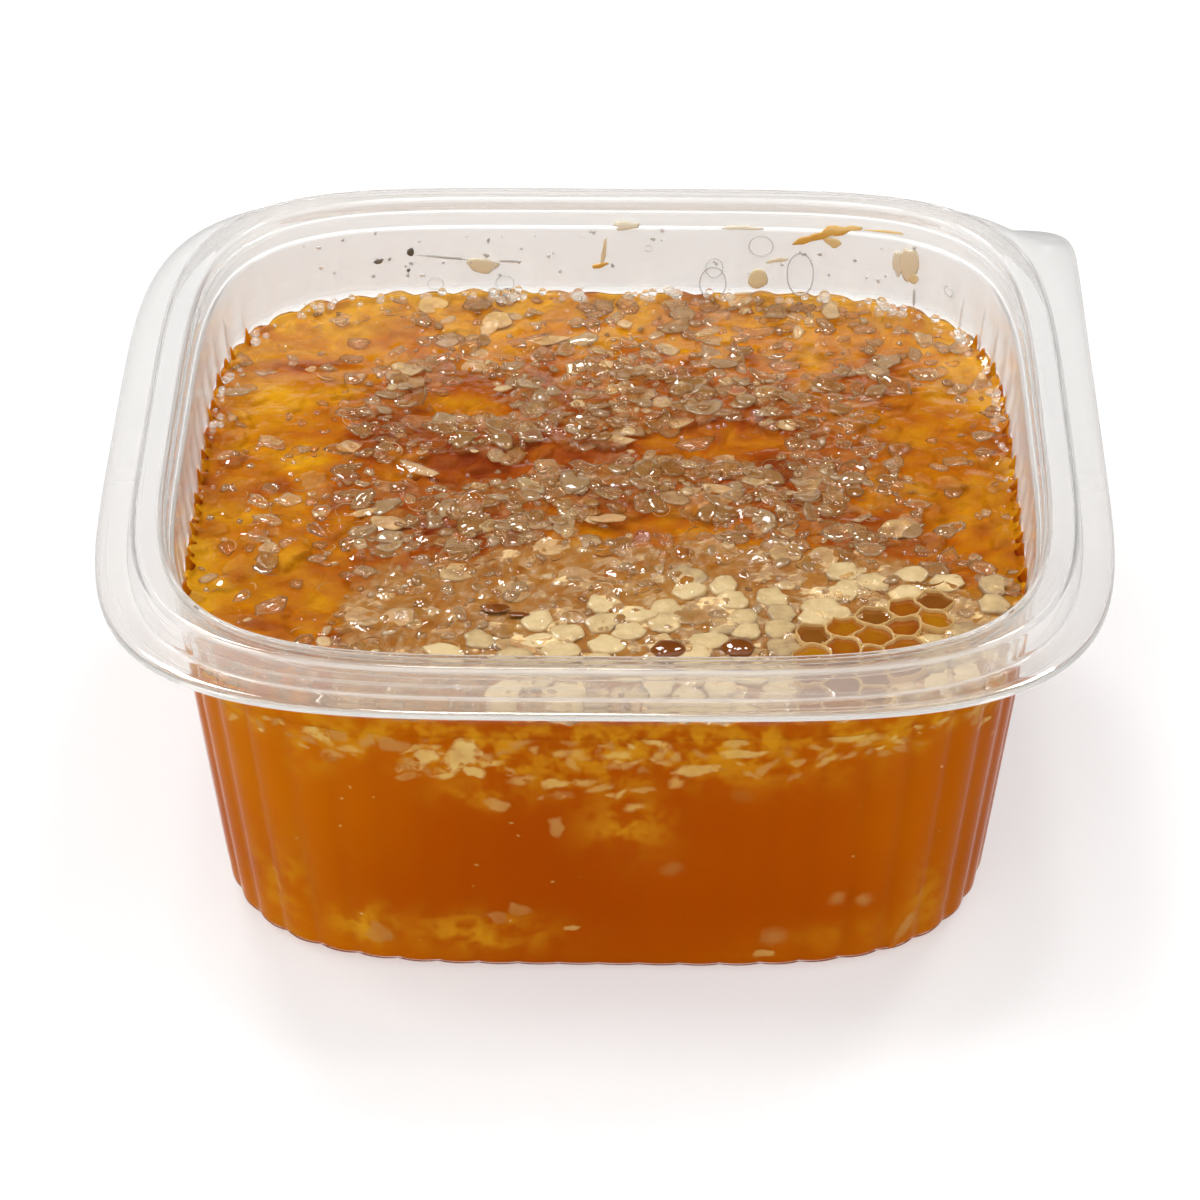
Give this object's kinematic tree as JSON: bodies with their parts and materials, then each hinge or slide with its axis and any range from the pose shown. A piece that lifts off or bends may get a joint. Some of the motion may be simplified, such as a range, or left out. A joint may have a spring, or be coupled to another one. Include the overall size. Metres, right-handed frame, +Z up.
{
  "type": "tub of honey with cut comb",
  "caption": "Open square tub of thin clear plastic with fluted walls and a hinge flange, filled with amber honey and pieces of cut honeycomb.",
  "frame": {"origin": "middle of the tub's underside, on the surface that it stands on", "axes": "+Z up, +X towards the hinge side, -Y towards the front"},
  "size_m": [0.1552, 0.1552, 0.064],
  "materials": {
    "clear_plastic": "clear thin thermoformed sheet, glossy, faintly milky at the rim",
    "honey": "glossy amber honey, redder where deep and yellower near the walls",
    "comb_wax": "cream to amber beeswax, wet with honey"
  },
  "bodies": {
    "root": {"tub": "clear_plastic", "honey": "honey", "comb_front": "comb_wax", "comb_back": "comb_wax"}
  },
  "joints": []
}
